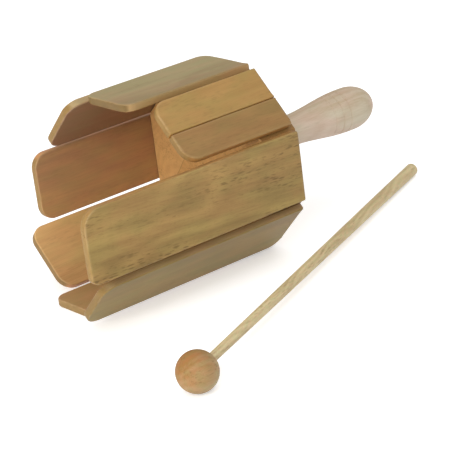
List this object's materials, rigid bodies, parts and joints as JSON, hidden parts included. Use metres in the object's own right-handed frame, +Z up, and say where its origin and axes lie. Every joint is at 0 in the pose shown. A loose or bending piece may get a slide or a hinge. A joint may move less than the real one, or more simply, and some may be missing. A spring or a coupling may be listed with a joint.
{
  "type": "stirring drum",
  "caption": "Wooden stirring drum: slats of rising length glued round a many-sided block, open at the front, with a turned handle and a loose ball-ended beater.",
  "frame": {"origin": "on the outer face of the bottom slat, under the middle of the 26 mm that is glued to the block, at the height of the floor that the drum and the beater lie on", "axes": "+X along the drum's axis from the open front to the handle, +Y across to the far side, +Z up"},
  "size_m": [0.3279, 0.231, 0.125],
  "materials": {
    "slat_wood": "satin varnish",
    "block_wood": "satin varnish",
    "handle_wood": "bare, sanded",
    "ball_wood": "satin varnish",
    "stick_wood": "bare, sanded"
  },
  "bodies": {
    "drum": {"core_block": "block_wood", "slat_1": "slat_wood", "slat_2": "slat_wood", "slat_3": "slat_wood", "slat_4": "slat_wood", "slat_5": "slat_wood", "slat_6": "slat_wood", "slat_7": "slat_wood", "slat_8": "slat_wood", "slat_9": "slat_wood", "handle": "handle_wood"},
    "beater": {"beater_ball": "ball_wood", "beater_stick": "stick_wood"}
  },
  "joints": [
    {"name": "beater_lift", "type": "slide", "parent": "drum", "child": "beater", "axis": [0, 0, 1], "range_m": [0, 0.15]}
  ]
}
